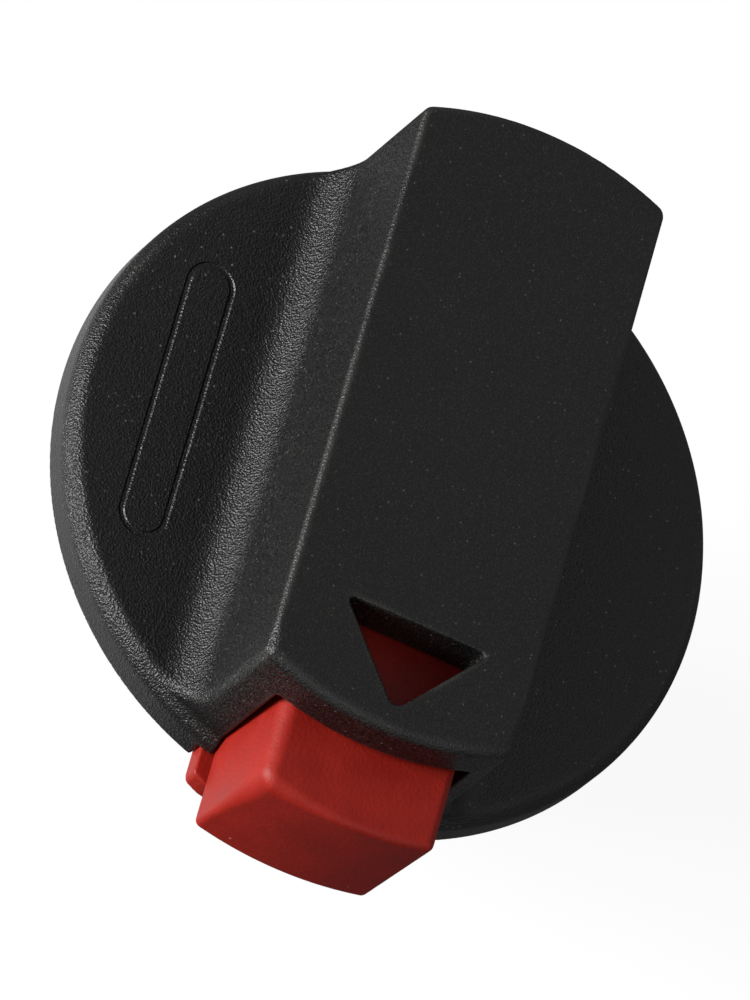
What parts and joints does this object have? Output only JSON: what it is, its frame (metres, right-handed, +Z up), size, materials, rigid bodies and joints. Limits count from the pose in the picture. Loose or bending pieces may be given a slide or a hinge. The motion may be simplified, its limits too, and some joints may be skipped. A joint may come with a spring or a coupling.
{
  "type": "rotary selector knob",
  "caption": "Round selector knob with a raised bar grip, pointer window and sprung lock button, on a spindle with an eccentric pin in a flanged bush.",
  "frame": {"origin": "on the turning axis, in the plane of the bush flange's seat, which is the housing's outer face", "axes": "+Z up along the turning axis towards the grip's top face, +Y to the far end of the grip, lock button and pointer window towards -Y"},
  "size_m": [0.045, 0.0498, 0.0415],
  "materials": {
    "black_nylon": "spark-eroded grain",
    "red_plastic": "satin",
    "dark_plastic": "satin",
    "washer_plastic": "satin",
    "spring_steel": "bright drawn",
    "zinc_steel": "zinc plated",
    "ground_steel": "ground",
    "dark_steel": "phosphated",
    "sintered_bronze": "sintered, oiled",
    "seal_rubber": "matt"
  },
  "bodies": {
    "seat": {"mounting_bush": "sintered_bronze"},
    "knob": {"knob_shell": "black_nylon", "spindle": "dark_plastic", "spindle_screws": "zinc_steel", "shift_pin": "ground_steel", "o_ring": "seal_rubber", "button_spring": "spring_steel", "thrust_washer": "washer_plastic", "lower_washer": "zinc_steel", "wave_washer": "spring_steel", "retaining_ring": "dark_steel"},
    "button": {"lock_button": "red_plastic"}
  },
  "joints": [
    {"name": "knob_turn", "type": "hinge", "parent": "seat", "child": "knob", "pos_m": [0, 0, 0], "axis": [0, 0, 1], "range_deg": [-90, 90]},
    {"name": "button_press", "type": "slide", "parent": "knob", "child": "button", "axis": [0, 1, 0], "range_m": [0, 0.004], "stiffness_N_per_m": 900, "springref_m": -0.004, "deforming": ["button_spring"]}
  ]
}
